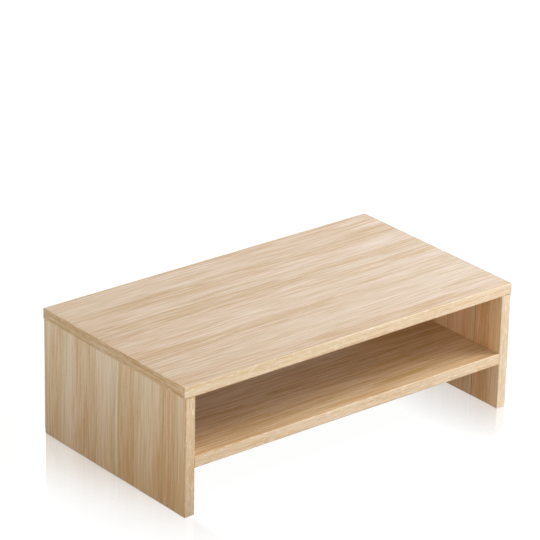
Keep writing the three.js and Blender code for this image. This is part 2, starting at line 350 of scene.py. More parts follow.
def buildOakGrain():
    group, given, made = newGroup("oakGrainAndLight", {
        "Vector": None,
        "Seed": 0.0,
        **oakColours,
        "Sway": 6.0,  # how far the grain wanders sideways, mm
        "Strips": 0.5,  # broad bands of tone
        "Streaks": 0.27,
        "Lines": 0.62,  # the finest growth lines
        "Hue": 0.6,  # how far pinkish and greenish strips part
        "Pores": 0.35,
        "Flecks": 0.3,  # pale dashes
        "Fleck Length": 60.0,  # mm
        "Fleck Width": 1.3,
        "Drift Start": 0.0,  # painted light and shade: from here along the grain the colour turns from a darker, warmer painted shade to a paler painted light, mm
        "Drift End": 127.0,
        "Drift Lean": 0.0,  # and across it
        "Drift": 0.0,
        "Mark Place": 1000.0,  # one stronger line of growth, mm across the grain
        "Mark Width": 6.0,
        "Mark Pale": 0.0,  # the pale streak behind it
        "Mark Warm": 0.0,  # the warm strip before it
        "Mark Dark": 0.0,  # the thin dark line on it
    }, ("Color", "Roughness", "Height"))
    along, across = splitXyz(group, given["Vector"])[:2]

    def noise(name, sideways, size=None):
        look = oakLayers[name]
        length, width = size or look["size"]
        shift = addAll(group, given["Seed"], look["shift"])
        vector = joinXyz(group, over(group, along, length), over(group, sideways, width), shift)
        return addNoise(group, vector, look.get("detail", 1.0), look.get("roughness", 0.5))

    def layer(name, sideways, size=None, least=0.0):
        return addRange(group, noise(name, sideways, size), *oakLayers[name]["ends"], least)

    def centred(value, *weights):  # minus a half to plus a half, weighed
        return times(group, less(group, value, 0.5), *weights)

    wander = centred(noise("wander", across), given["Sway"], 2.0)
    swayed = addAll(group, across, wander)
    lines = layer("lines", swayed)
    tone = addAll(
        group,
        centred(layer("strips", swayed), given["Strips"]),
        centred(layer("streaks", swayed), given["Streaks"]),
        centred(lines, given["Lines"]),
        centred(layer("hairs", swayed), given["Lines"], 0.5),
        0.5,
    )

    # the marked growth line, with a pale streak fading away behind it and a warm strip up to it
    edge = oakPrintAndLight["markEdge"]
    bent = addAll(group, across, times(group, wander, oakPrintAndLight["markBend"]))
    past = less(group, bent, given["Mark Place"])
    pale = times(group, addRange(group, past, given["Mark Width"], 0.0), addRange(group, past, 0.0, edge))
    pale = times(group, pale, addRange(group, lines, 0.2, 1.0, 1.0, 0.35), given["Mark Pale"])
    # the pale streak fades with the painted shade towards the drift's start
    pale = times(group, pale, addRange(group, along, given["Drift Start"], given["Drift End"], 0.3, 1.0))
    warmWidth = times(group, given["Mark Width"], -4.0)
    warm = times(group, addRange(group, past, warmWidth, 0.0), addRange(group, past, 0.0, -edge))
    tone = addAll(group, tone, times(group, pale, -1.0), times(group, warm, given["Mark Warm"]))
    tone = addMath(group, "MINIMUM", addMath(group, "MAXIMUM", tone, 0.0), 1.0)
    colour = addMix(group, tone, given["Pale"], given["Warm"])
    colour = addMix(group, times(group, pale, 0.75), colour, oakPrintAndLight["markPale"])

    tint = addMix(group, layer("hue", swayed), oakPrintAndLight["pinkish"], oakPrintAndLight["greenish"])
    colour = addMix(group, given["Hue"], colour, addMix(group, 1.0, colour, tint, "MULTIPLY"))

    # painted light and shade: the colour runs from the darker, warmer painted shade at the drift's start to
    # the paler painted light at its end
    drift = addAll(group, along, times(group, across, given["Drift Lean"]))
    drift = addRange(group, drift, given["Drift Start"], given["Drift End"], smooth=False)
    drift = addMix(group, drift, oakPrintAndLight["shadedDriftTone"], oakPrintAndLight["litDriftTone"])
    colour = addMix(group, given["Drift"], colour, addMix(group, 1.0, colour, drift, "MULTIPLY"))

    crowding = addRange(group, tone, 0.2, 0.9, 0.25, 1.0)  # more pores in the darker growth
    pores = times(group, layer("pores", swayed), crowding)
    colour = addMix(group, times(group, pores, given["Pores"]), colour, given["Deep"])
    line = addRange(group, addMath(group, "ABSOLUTE", past), 1.0, 0.2)
    line = times(group, line, layer("breaks", across, least=0.5))
    colour = addMix(group, times(group, line, given["Mark Dark"]), colour, oakPrintAndLight["markDark"])

    leaning = addAll(group, across, times(group, along, oakPrintAndLight["fleckLean"]), wander)
    flecks = layer("flecks", leaning, (given["Fleck Length"], given["Fleck Width"]))
    fleckColour = addMix(group, 0.8, given["Pale"], oakPrintAndLight["fleckColour"])
    colour = addMix(group, times(group, flecks, given["Flecks"]), colour, fleckColour)

    feed(group, made["Color"], colour)
    roughness = addRange(group, tone, 0, 1, oakPrintAndLight["smooth"], oakPrintAndLight["rough"], smooth=False)
    feed(group, made["Roughness"], roughness)
    feed(group, made["Height"], addAll(group, times(group, pores, -1.0), times(group, lines, -0.3)))
    return group


def buildTrimmedEdges():  # a band's two long edges, where the trimmed plastic shows its own tone
    group, given, made = newGroup("trimmedEdges", {
        "Color": (1, 1, 1, 1),
        "Across": 0.0,  # mm
        "Low": 0.0,
        "High": 12.0,
        "Width": 1.4,
        "Low Tone": (0.8, 0.8, 0.8, 1),
        "High Tone": (1, 1, 1, 1),
    }, ("Color",))
    aboveLow = less(group, given["Across"], given["Low"])
    belowHigh = less(group, given["High"], given["Across"])
    colour = given["Color"]
    for distance, tone in ((aboveLow, given["Low Tone"]), (belowHigh, given["High Tone"])):
        near = addRange(group, distance, given["Width"], times(group, given["Width"], 0.35))
        colour = addMix(group, near, colour, addMix(group, 1.0, colour, tone, "MULTIPLY"))
    feed(group, made["Color"], colour)
    return group


oakGrainAndLight = buildOakGrain()
trimmedEdges = buildTrimmedEdges()


def toned(red, green, blue, **others):  # the oak's colours, each weighed a little
    weights = (red, green, blue, 1)
    looks = {name: tuple(part * weight for part, weight in zip(colour, weights))
             for name, colour in oakColours.items()}
    looks.update({name.replace("_", " "): value for name, value in others.items()})
    return looks


def oakMaterial(name, along, across, seed, looks, edges=None):
    material, tree, shader, place = newMaterial(name)
    vector = joinXyz(tree, place[along], place[across], 0.0)
    grain = useGroup(tree, oakGrainAndLight, {"Vector": vector, "Seed": seed, **looks})
    colour = grain["Color"]
    if edges:
        colour = useGroup(tree, trimmedEdges, {"Color": colour, "Across": place[across], **edges})["Color"]
    addLooks(tree, shader, colour, grain, oakPrintAndLight["bump"])
    return material


# boards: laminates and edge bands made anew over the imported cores

boardLooks = {
    "laminateEdge": 0.06,  # mm, broken edge of a laminate
    "laminateSegments": 2,
    "bandRound": 0.75,  # mm, the bands' outer edges
    "bandSegments": 6,
    "boreSides": 64,
    "boreReach": 2,  # mm, of a drill, past a laminate's middle
    "bores": {"cam_lock": 7.6, "insert_nut": 5.1, "dowel": 3.2},  # mm, radius
}
# painted light: the top turns paler to the right, where more light falls, and its weights, bluer than the
# other boards', paint part of a pale sheen into it
litTopLooks = toned(
    0.80, 0.805, 0.84, Sway=3, Strips=0.4, Streaks=0.2, Lines=0.7, Hue=0.35,
    Drift=0.4, Drift_Start=-210, Drift_End=210)
sideTone = (0.94, 0.92, 0.83)
# painted shade: the faces inside the bay are warmer and deeper in colour than the outer ones, as they look in
# their shade
shadedInnerTone = (1.06, 0.93, 0.77)
# painted shade: the shelf, in the bay, is darker and warmer than the sides
shadedShelfLooks = toned(0.88, 0.815, 0.68, Sway=1.8, Strips=0.35, Streaks=0.25, Lines=1.1, Hue=0.35)
faceLooks = {  # each laminate: the grain's direction, the direction across it, a seed and its own looks
    "top_panel_upper": ("x", "y", 7083.39, litTopLooks),
    "top_panel_lower": ("x", "y", 8.0, litTopLooks),
    "shelf_upper": ("x", "y", 14.0, shadedShelfLooks),
    "shelf_lower": ("x", "y", 19.0, shadedShelfLooks),
    # painted shade and light: the left side darkens and warms towards its foot and front, and pales towards
    # its top and back
    "left_panel_outer": (
        "z", "y", 7681.35,
        toned(
            *sideTone, Drift=1.0, Drift_Start=-15, Drift_End=118, Drift_Lean=0.38,
            Mark_Place=-8.0, Mark_Pale=1.0, Mark_Warm=0.4)),
    "left_panel_inner": ("z", "y", 29.0, toned(*shadedInnerTone)),
    # painted shade: a little darker towards its foot
    "right_panel_outer": ("z", "y", 31.0, toned(0.74, 0.72, 0.66, Drift=0.25)),
    # painted shade: darker and warmer towards its foot
    "right_panel_inner": (
        "z", "y", 17462.86,
        toned(
            *shadedInnerTone, Drift=0.4, Drift_Start=-15, Drift_End=125,
            Mark_Place=-77.5, Mark_Dark=0.8, Mark_Pale=0.25, Mark_Width=3.0, Strips=0.7)),
}
longBand = {
    "Flecks": 0.85, "Fleck_Length": 9, "Fleck_Width": 0.65, "Strips": 0.15, "Streaks": 0.15, "Lines": 0.5,
    "Pores": 0.2, "Sway": 0.8, "Hue": 0.3,
}
endBand = {
    "Flecks": 0.5, "Fleck_Length": 11, "Fleck_Width": 0.8, "Strips": 0.2, "Streaks": 0.15, "Lines": 0.8,
    "Pores": 0.5, "Sway": 1.5,
}
bandLooks = {  # each sort of band, or one band, from different rolls; partly painted light too, the front bands paler than the faces as if lit from the front
    "long": toned(1.03, 1.06, 1.06, **longBand),
    "shelf_front": toned(1.06, 1.11, 1.13, **longBand),
    "end": toned(0.825, 0.785, 0.635, **endBand),
    "left_panel_front": toned(0.955, 0.96, 0.89, **longBand),
    "right_panel_front": toned(1.08, 1.175, 1.32, **longBand),
    "top_panel_right": toned(0.72, 0.69, 0.58, **endBand),
}
bandEdges = {  # how a band's trimmed long edges differ from its face
    "long": {"Low Tone": (0.90, 0.82, 0.71, 1), "High Tone": (0.95, 0.94, 0.93, 1)},
    "end": {"Low Tone": (0.90, 0.86, 0.80, 1), "High Tone": (1.0, 1.0, 1.0, 1)},
}


def boxOf(names):
    boxes = [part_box(name) for name in names]
    low = Vector([min(box[0][axis] for box in boxes) for axis in range(3)])
    high = Vector([max(box[1][axis] for box in boxes) for axis in range(3)])
    return low, high


def boresThrough(low, high):  # drills for the fittings whose bores break through a laminate's box
    thin = min(range(3), key=lambda way: high[way] - low[way])
    reach = boardLooks["boreReach"]
    near = 1 * mm
    drills = []
    for name in nodes:
        radius = next((size for start, size in boardLooks["bores"].items() if name.startswith(start)), None)
        if radius is None:
            continue
        fitLow, fitHigh = boxOf([name])
        middle = (fitLow + fitHigh) / 2
        size = fitHigh - fitLow
        lying = name.startswith("dowel") and max(size) > size[thin] + near
        touching = fitLow[thin] - near < high[thin] and fitHigh[thin] + near > low[thin]
        inside = all(low[way] < middle[way] < high[way] for way in range(3) if way != thin)
        if lying or not touching or not inside:
            continue
        middle[thin] = (low[thin] + high[thin]) / 2
        drill = turnPiece("bore_tool", boardLooks["boreSides"], [(radius, -reach), (radius, reach)])
        drill.rotation_euler = (0, math.pi / 2 if thin == 0 else 0, 0)
        drill.location = middle
        applyPlace(drill)
        drills.append(drill)
    return drills


def addLaminate(board, face):
    start = board + "_" + face
    node = start + "_laminate"
    low, high = boxOf([node])
    sheet = addBlock(start + "_oak_face", low, high)
    roundEdges(sheet, lambda edge: True, boardLooks["laminateEdge"] * mm, boardLooks["laminateSegments"])
    cutAway(sheet, boresThrough(low, high))
    smoothShade(sheet)
    material = oakMaterial(start + "_print", *faceLooks[start])
    hand(sheet, material, "oak_laminate", "stand", node)


def outwardOf(name, middle):  # a band's outward side, as an axis and a sign
    low, high = boxOf([name])
    axis = min(range(3), key=lambda way: high[way] - low[way])
    return axis, 1 if (low[axis] + high[axis]) / 2 > middle[axis] else -1


def addBand(board, edge, seed, openSides, boardLow, boardHigh):
    start = board + "_" + edge
    node = start + "_edge_band"
    low, high = boxOf([node])
    strip = addBlock(start + "_oak_band", low, high)

    def isOpen(face):
        axis = max(range(3), key=lambda way: abs(face.normal[way]))
        sign = 1 if face.normal[axis] > 0 else -1
        outline = (boardHigh if sign > 0 else boardLow)[axis]
        return (axis, sign) in openSides and abs(face.calc_center_median()[axis] - outline) < 0.2 * mm

    def onOutline(line):
        return all(isOpen(face) for face in line.link_faces)

    roundEdges(strip, onOutline, boardLooks["bandRound"] * mm, boardLooks["bandSegments"])
    smoothShade(strip, 40)
    thin, across, along = sorted(range(3), key=lambda way: high[way] - low[way])
    sort = "long" if edge in ("front", "back") else "end"
    looks = bandLooks.get(start, bandLooks[sort])
    edges = {**bandEdges[sort], "Low": low[across] / mm, "High": high[across] / mm}
    material = oakMaterial(node + "_print", axisNames[along], axisNames[across], seed, looks, edges)
    hand(strip, material, "oak_edge_band", "stand", node)


def dressBoard(board, faces, edges, thin, seed):  # thin is the axis of the board's thickness
    bandNames = [board + "_" + edge + "_edge_band" for edge in edges]
    low, high = boxOf([board + "_" + face + "_laminate" for face in faces] + bandNames)
    middle = (low + high) / 2
    openSides = {(thin, 1), (thin, -1)} | {outwardOf(name, middle) for name in bandNames}
    for face in faces:
        addLaminate(board, face)
    for count, edge in enumerate(edges):
        addBand(board, edge, seed + 5 * count, openSides, low, high)
    print("dressed", board)


dressBoard("top_panel", ("upper", "lower"), ("front", "back", "left", "right"), thin=2, seed=50)
dressBoard("shelf", ("upper", "lower"), ("front", "back"), thin=2, seed=85)
dressBoard("left_panel", ("outer", "inner"), ("front", "back", "bottom"), thin=0, seed=110)
dressBoard("right_panel", ("outer", "inner"), ("front", "back", "bottom"), thin=0, seed=140)


# cores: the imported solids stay, in pressed wood chips that lie flat in the board

chipLooks = {  # mm; the coarse chips lie in a board's middle and the fine ones towards both faces
    "coarse": (4.2, 2.4, 0.9, 3.1),  # length, width and thickness of a chip, and a shift
    "fine": (1.3, 0.9, 0.4, 9.7),
    "fineBetween": (3.2, 4.4),  # from the middle, where coarse turns to fine
    "fibreLength": 2.0,
    "fibreWidth": 0.3,
    "bump": 0.12,
}


def buildPressedChips():
    group, given, made = newGroup("pressedChips", {
        "Vector": None,  # mm, the board's thickness along Z
        "Middle": 0.0,  # the board's middle in that direction
        "Seed": 0.0,
        "Light": paint(216, 186, 142),
        "Dark": paint(146, 110, 72),
        "Glue": paint(120, 92, 62),
    }, ("Color", "Roughness", "Height"))
    x, y, z = splitXyz(group, given["Vector"])
    depth = addMath(group, "ABSOLUTE", less(group, z, given["Middle"]))

    def chips(length, width, thickness, shift):
        return addCells(group, joinXyz(
            group,
            addAll(group, over(group, x, length), given["Seed"]),
            addAll(group, over(group, y, width), shift),
            over(group, z, thickness),
        ))

    coarse, coarseWay = chips(*chipLooks["coarse"])
    fine, fineWay = chips(*chipLooks["fine"])
    outer = addRange(group, depth, *chipLooks["fineBetween"])
    cell = addMix(group, outer, coarse, fine)
    way = addAll(group, times(group, coarseWay, less(group, 1.0, outer)), times(group, fineWay, outer))
    alongFibre = over(group, x, chipLooks["fibreLength"])
    acrossFibre = over(group, y, chipLooks["fibreWidth"])
    fibre = addNoise(group, joinXyz(group, alongFibre, acrossFibre, z))
    shade = addRange(group, addAll(group, splitXyz(group, cell)[0], times(group, fibre, 0.4)), 0.2, 1.2)
    colour = addMix(group, shade, given["Dark"], given["Light"])
    colour = addMix(group, times(group, addRange(group, way, 0.45, 0.75), 0.7), colour, given["Glue"])
    feed(group, made["Color"], colour)
    feed(group, made["Roughness"], addRange(group, shade, 0, 1, 0.95, 0.85))
    feed(group, made["Height"], addAll(group, shade, times(group, way, -1.2)))
    return group


pressedChips = buildPressedChips()


def chipMaterial(name, order, middle, seed):  # order: which axes lie along, across and through the board
    material, tree, shader, place = newMaterial(name)
    vector = joinXyz(tree, *[place[axis] for axis in order])
    made = useGroup(tree, pressedChips, {"Vector": vector, "Middle": middle, "Seed": seed})
    addLooks(tree, shader, made["Color"], made, chipLooks["bump"])
    return material


coreOrders = {"top_panel": "xyz", "shelf": "xyz", "left_panel": "zyx", "right_panel": "zyx"}

for count, (board, order) in enumerate(coreOrders.items()):
    core = board + "_core"
    coreLow, coreHigh = boxOf([core])
    through = axisNames.index(order[2])
    middle = (coreLow[through] + coreHigh[through]) / 2 / mm
    material = chipMaterial(board + "_chips", order, middle, 7.0 * count)
    bpy.data.objects[core].material_slots[0].material = material
print("cores finished")


# fittings: each is modelled once in its joint's frame, where the bolt lies along X from the face that holds
# it and the cam looks to +Z, and is then copied to its eight places

joints = {  # the way each joint's bolts reach into the other board, and the way its cams look
    "top_left": {"reach": (0, 0, -1), "look": (1, 0, 0)},
    "top_right": {"reach": (0, 0, -1), "look": (-1, 0, 0)},
    "shelf_left": {"reach": (1, 0, 0), "look": (0, 0, -1)},
    "shelf_right": {"reach": (-1, 0, 0), "look": (0, 0, -1)},
}
rows = ("front", "back")
camLooks = {  # mm, from the middle of the board that holds the cam
    "sides": 96,
    "radius": 7.4,
    "low": -3.5,
    "high": 5.75,
    "rim": 0.3,
    "setback": 24,  # from the face that holds the bolt
    "ring": 0.9,  # under the channel
    "room": 3.3,  # the channel's radius where it starts, and half its height
    "throw": 1.0,  # how far it opens over a turn
    "neckRoom": 2.15,
    "crossLength": 7.2,
    "crossWidth": 1.7,
    "crossDepth": 1.4,
    "crossTaper": 0.72,  # the floor's share of the recess's opening
    "arrowTip": 6.6,
    "arrowSize": 1.1,
    "arrowDepth": 0.25,
}
boltLooks = {  # mm
    "sides": 48,
    "threadRadius": 2.9,
    "threadLength": 9.4,
    "pitch": 1.25,
    "threadDepth": 0.42,
    "threadFlank": 2.6,  # how steep its sides are
    "threadGap": 0.2,  # between the thread and the collar
    "ringsPerPitch": 8,
    "collarRadius": 3.4,
    "collarLength": 0.8,
    "shankRadius": 3.0,
    "neckRadius": 1.9,
    "neckStart": 16,
    "taper": 0.6,
    "headRadius": 3.0,
    "headFlat": 0.4,
    "headRings": 12,
    "crossLength": 2.2,
    "crossWidth": 0.55,
    "crossDepth": 0.9,
    "crossTaper": 0.6,
    "round": 0.12,
}
insertLooks = {  # mm
    "sides": 64,
    "inner": 3.1,
    "outer": 4.9,
    "low": -9.5,
    "high": -0.1,
    "barb": 0.4,
    "barbs": 4,
    "rim": 1.2,
    "round": 0.12,
    "slitWidth": 0.7,
    "slitDepth": 6.0,
}
dowelLooks = {  # mm
    "flutes": 20,
    "sidesPerFlute": 6,
    "radius": 3.0,
    "fluteDepth": 0.25,
    "low": -9.5,
    "high": 20.5,
    "chamfer": 0.8,
}


def outwards(place):  # away from the Z axis, level
    return Vector((place.x, place.y, 0))


def addCross(size, tip):  # a cross recess's two tapered bars, cut down from a tip along Z
    bars = []
    for turn in (0, math.pi / 2):
        half = Vector((size["crossLength"] / 2, size["crossWidth"] / 2, 0)) * mm
        floor = Vector((0, 0, tip - size["crossDepth"])) * mm
        bar = addBlock("cross_tool", floor - half, Vector((0, 0, tip + 0.5)) * mm + half)
        startEdit(bar, "FACE")
        pick(bar, "faces", lambda face: face.normal.z < -0.9)
        bpy.ops.transform.resize(value=(size["crossTaper"], size["crossTaper"], 1), center_override=floor)
        endEdit()
        bar.rotation_euler = (0, 0, turn)
        applyPlace(bar)
        bars.append(bar)
    return bars


def shapeCam():
    size = camLooks
    low = size["low"]
    high = size["high"]
    inner = size["radius"] - size["rim"]
    cam = turnPiece("cam_model", size["sides"], [
        (inner, low),
        (size["radius"], low + size["rim"]),
        (size["radius"], high - size["rim"]),
        (inner, high),
    ])
    floor = low + size["ring"]
    room = size["room"]
    neck = size["neckRoom"]
    channel = turnPiece("channel_tool", size["sides"], [(room, floor), (room, room)])

    def openOut(place):  # the channel widens clockwise from the bolt's side
        share = (math.pi - math.atan2(place.y, place.x)) / (2 * math.pi) % 1
        return place + outwards(place).normalized() * size["throw"] * share

    moveCorners(channel, openOut)
    hole = turnPiece("hole_tool", size["sides"], [(room, low - 1), (room, floor + 1)])
    reach = size["radius"] + 2
    slot = turnPiece("slot_tool", size["sides"], [(reach, -neck), (reach, neck)])
    startEdit(slot)
    bpy.ops.mesh.bisect(plane_co=(0, 0, 0), plane_no=(0, 1, 0), use_fill=True, clear_inner=True)
    endEdit()
    neckBox = addBlock("neck_tool", Vector((-reach, -neck, -neck)) * mm, Vector((0, neck, neck)) * mm)
    mouthLow = Vector((0, -room, low - 1)) * mm
    mouthBox = addBlock("mouth_tool", mouthLow, Vector((reach, room, room)) * mm)
    arrow = turnPiece("arrow_tool", 3, [
        (size["arrowSize"], high - size["arrowDepth"]), (size["arrowSize"], high + 1)])
    arrow.rotation_euler = (0, 0, -math.pi / 2)  # its point looks to the mouth
    arrow.location = ((size["arrowTip"] - size["arrowSize"]) * mm, 0, 0)
    applyPlace(arrow)
    cutAway(cam, [channel, hole, slot, neckBox, mouthBox, arrow] + addCross(size, high))
    cam.location = (size["setback"] * mm, 0, 0)  # to the end of the bolt
    applyPlace(cam)
    return cam


def shapeBolt():
    size = boltLooks
    edge = size["round"]
    start = size["taper"] - size["threadLength"]
    profile = [
        (size["threadRadius"] - size["taper"], -size["threadLength"]),
        (size["threadRadius"], start),
        (size["threadRadius"], 0),
        (size["collarRadius"] - edge, 0),
        (size["collarRadius"], edge),
        (size["collarRadius"], size["collarLength"] - edge),
        (size["collarRadius"] - edge, size["collarLength"]),
        (size["shankRadius"], size["collarLength"]),
        (size["shankRadius"], size["neckStart"] - size["taper"] * 2),
        (size["neckRadius"], size["neckStart"]),
    ]
    first = math.asin(size["neckRadius"] / size["headRadius"])
    last = math.pi - math.acos((size["headRadius"] - size["headFlat"]) / size["headRadius"])
    for count in range(size["headRings"] + 1):
        angle = first + (last - first) * count / size["headRings"]
        height = camLooks["setback"] - size["headRadius"] * math.cos(angle)
        profile.append((size["headRadius"] * math.sin(angle), height))
    bolt = turnPiece("bolt_model", size["sides"], profile)

    def isThreadSide(line):
        low, high = sorted(corner.co.z for corner in line.verts)
        return abs(low - start * mm) < 0.01 * mm and abs(high) < 0.01 * mm

    startEdit(bolt)
    pick(bolt, "edges", isThreadSide)
    rings = round(-start / size["pitch"] * size["ringsPerPitch"])
    bpy.ops.mesh.subdivide(number_cuts=rings)
    endEdit()

    def cutThread(place):  # a groove that climbs one pitch a turn and runs out under the collar
        if not start + 0.01 < place.z < -size["threadGap"]:
            return place
        turn = (place.z / size["pitch"] - math.atan2(place.y, place.x) / (2 * math.pi)) % 1
        depth = size["threadDepth"] * min(1, abs(turn - 0.5) * size["threadFlank"])
        fade = min(1, (-size["threadGap"] - place.z) / size["pitch"])
        return place - outwards(place).normalized() * depth * fade

    moveCorners(bolt, cutThread)
    cutAway(bolt, addCross(size, camLooks["setback"] + size["headRadius"] - size["headFlat"]))
    layAlongX(bolt)
    return bolt


def shapeInsert():
    size = insertLooks
    edge = size["round"]
    root = size["outer"] - size["barb"]
    barbed = size["high"] - size["low"] - size["rim"]
    profile = [(root, size["low"])]
    for count in range(1, size["barbs"] + 1):
        height = size["low"] + barbed * count / size["barbs"]
        profile += [(size["outer"] - edge, height - edge), (size["outer"], height)]
        if count < size["barbs"]:
            profile.append((root, height))
    profile += [
        (size["outer"], size["high"] - edge),
        (size["outer"] - edge, size["high"]),
        (size["inner"] + edge, size["high"]),
        (size["inner"], size["high"] - edge),
        (size["inner"], size["low"]),
    ]
    insert = turnPiece("insert_model", size["sides"], profile)
    startEdit(insert, "FACE")
    pick(insert, "faces", lambda face: len(face.verts) == size["sides"])
    bpy.ops.mesh.bridge_edge_loops()
    endEdit()
    facesOut(insert)
    reach = (size["outer"] + 1) * mm
    half = size["slitWidth"] / 2 * mm
    low = (size["low"] - 1) * mm
    high = (size["low"] + size["slitDepth"]) * mm
    cutAway(insert, [addBlock("slit_tool", Vector((-reach, -half, low)), Vector((reach, half, high)))])
    layAlongX(insert)
    return insert


def shapeDowel():
    size = dowelLooks
    top = size["radius"]
    cut = size["chamfer"]
    ends = [(top - cut, 0), (top - cut * 0.35, cut * 0.4), (top, cut * 1.3)]  # a rounded chamfer
    profile = [(radius, size["low"] + height) for radius, height in ends]
    profile += [(radius, size["high"] - height) for radius, height in reversed(ends)]
    dowel = turnPiece("dowel_model", size["flutes"] * size["sidesPerFlute"], profile)

    def flute(place):
        flat = outwards(place)
        if flat.length < top - 0.01:
            return place
        wave = 0.5 - 0.5 * math.cos(math.atan2(place.y, place.x) * size["flutes"])
        return place - flat.normalized() * size["fluteDepth"] * wave ** 2

    moveCorners(dowel, flute)
    layAlongX(dowel)
    return dowel


def jointPlace(joint, corner, node):  # the joint's frame, moved along the boards to the node
    reach = Vector(joints[joint]["reach"])
    look = Vector(joints[joint]["look"])
    low, high = boxOf(["cam_lock_" + corner])
    place = (low + high) / 2 - reach * camLooks["setback"] * mm
    face = max(low.dot(look), high.dot(look)) - camLooks["high"] * mm
    place += look * (face - place.dot(look))
    nodeLow, nodeHigh = boxOf([node])
    place.y = (nodeLow.y + nodeHigh.y) / 2
    turn = Matrix((reach, look.cross(reach), look)).transposed()
    return Matrix.Translation(place) @ turn.to_4x4()


# metals, nylon and beech

def buildCastMarks():  # the mottling, fine scratches and handling smudges of hard small parts
    group, given, made = newGroup("castMarks", {
        "Vector": None,  # mm
        "Light": (0.8, 0.8, 0.8, 1),
        "Dark": (0.5, 0.5, 0.5, 1),
        "Patch Size": 3.5,  # mm
        "Grain Size": 0.6,
        "Scratch Width": 0.12,
        "Scratch Length": 3.0,
        "Scratches": 0.3,
        "Smooth": 0.3,  # roughness where it is cleanest
        "Rough": 0.5,
    }, ("Color", "Roughness", "Height"))
    x, y, z = splitXyz(group, given["Vector"])

    def specks(size):
        return addNoise(group, joinXyz(group, *[over(group, part, given[size]) for part in (x, y, z)]), 2.0)

    patches = specks("Patch Size")
    grit = specks("Grain Size")
    acrossLine = over(group, addAll(group, x, y), given["Scratch Width"])
    alongLine = over(group, less(group, y, z), given["Scratch Length"])
    lines = addNoise(group, joinXyz(group, acrossLine, alongLine, over(group, z, 2.0)))
    scratches = times(group, addRange(group, lines, 0.62, 0.72), given["Scratches"])
    tone = addRange(group, addAll(group, times(group, patches, 0.7), times(group, grit, 0.3)), 0.35, 0.65)
    colour = addMix(group, tone, given["Dark"], given["Light"])
    colour = addMix(group, times(group, scratches, 0.5), colour, given["Light"])
    feed(group, made["Color"], colour)
    rough = addRange(group, patches, 0.35, 0.65, given["Smooth"], given["Rough"])
    feed(group, made["Roughness"], addAll(group, rough, times(group, scratches, 0.1)))
    feed(group, made["Height"], addAll(group, grit, times(group, scratches, -0.8)))
    return group


castMarks = buildCastMarks()


def smallPartMaterial(name, looks, bump, **constants):
    material, tree, shader, place = newMaterial(name, **constants)
    vector = joinXyz(tree, *[place[axis] for axis in axisNames])
    made = useGroup(tree, castMarks, {"Vector": vector, **looks})
    addLooks(tree, shader, made["Color"], made, bump)
    return material


beechLooks = {
    "Pale": paint(226, 190, 148), "Warm": paint(200, 158, 114), "Deep": paint(150, 104, 66),
    "Sway": 0.4, "Strips": 0.3, "Lines": 0.9, "Pores": 0.5,
    "Flecks": 0.25, "Fleck Length": 4, "Fleck Width": 0.5,
}
fittingFinish = {
    "cam_lock": smallPartMaterial("cast_zinc", {
        "Light": paint(204, 205, 204), "Dark": paint(158, 160, 162), "Grain Size": 0.35,
        "Smooth": 0.34, "Rough": 0.52, "Scratches": 0.4}, 0.02, Metallic=1.0),
    "cam_bolt": smallPartMaterial("plated_steel", {
        "Light": paint(214, 212, 202), "Dark": paint(178, 176, 164), "Grain Size": 0.2,
        "Smooth": 0.2, "Rough": 0.36, "Scratches": 0.5}, 0.008, Metallic=1.0),
    "insert_nut": smallPartMaterial("white_nylon", {
        "Light": paint(236, 233, 224), "Dark": paint(224, 220, 208), "Grain Size": 0.5,
        "Smooth": 0.42, "Rough": 0.58, "Scratches": 0.15}, 0.015),
    "dowel_x": oakMaterial("beech_lengthways", "x", "y", 200.0, beechLooks),
    "dowel_z": oakMaterial("beech_upright", "z", "y", 205.0, beechLooks),
}
fittingKinds = {  # by the node's name: the piece's name, its model, its slot and its sharp edges' angle
    "cam_lock": ("cam", shapeCam, "zinc_cam", 35),
    "cam_bolt": ("ball_bolt", shapeBolt, "steel_bolt", 40),
    "insert_nut": ("barbed_nut", shapeInsert, "nylon_insert", 35),
    "dowel": ("fluted_dowel", shapeDowel, "beech_dowel", 50),
}

for kind, (pieceName, shape, slot, sharpAngle) in fittingKinds.items():
    model = shape()
    smoothShade(model, sharpAngle)
    for joint, directions in joints.items():
        for row in rows:
            corner = joint + "_" + row
            node = kind + "_" + corner
            makeActive(model)
            bpy.ops.object.duplicate()
            piece = bpy.context.object
            piece.name = pieceName + "_" + corner
            piece.matrix_world = jointPlace(joint, corner, node)
            applyPlace(piece)
            upright = "z" if directions["reach"][2] else "x"
            finish = fittingFinish[kind + "_" + upright if kind == "dowel" else kind]
            body = corner + "_cam" if kind == "cam_lock" else "stand"
            hand(piece, finish, slot, body, node)
    bpy.data.objects.remove(model)
    print("made", pieceName, "for eight places")


# studio: the photograph's camera, soft lamps, a white floor and a white world

photoCamera = {
    "lens": 216.81,  # mm, on a sensor 36 mm wide
    "place": (-1.92937, -2.34037, 1.47698),
    "aim": (-0.01065, 0.00453, 0.16932),
    "roll": 1.192,  # degrees
    "near": 0.1,  # metres
    "far": 100,
}


def addCamera():
    deselectAll()
    bpy.ops.object.camera_add(location=photoCamera["place"])
    camera = bpy.context.object
    camera.name = "photo_camera"
    sight = Vector(photoCamera["aim"]) - Vector(photoCamera["place"])
    roll = Quaternion((0, 0, 1), math.radians(photoCamera["roll"]))
    camera.rotation_mode = "QUATERNION"
    camera.rotation_quaternion = sight.to_track_quat("-Z", "Y") @ roll
    camera.data.sensor_width = 36
    camera.data.lens = photoCamera["lens"]
    camera.data.clip_start = photoCamera["near"]
    camera.data.clip_end = photoCamera["far"]
    bpy.context.scene.camera = camera


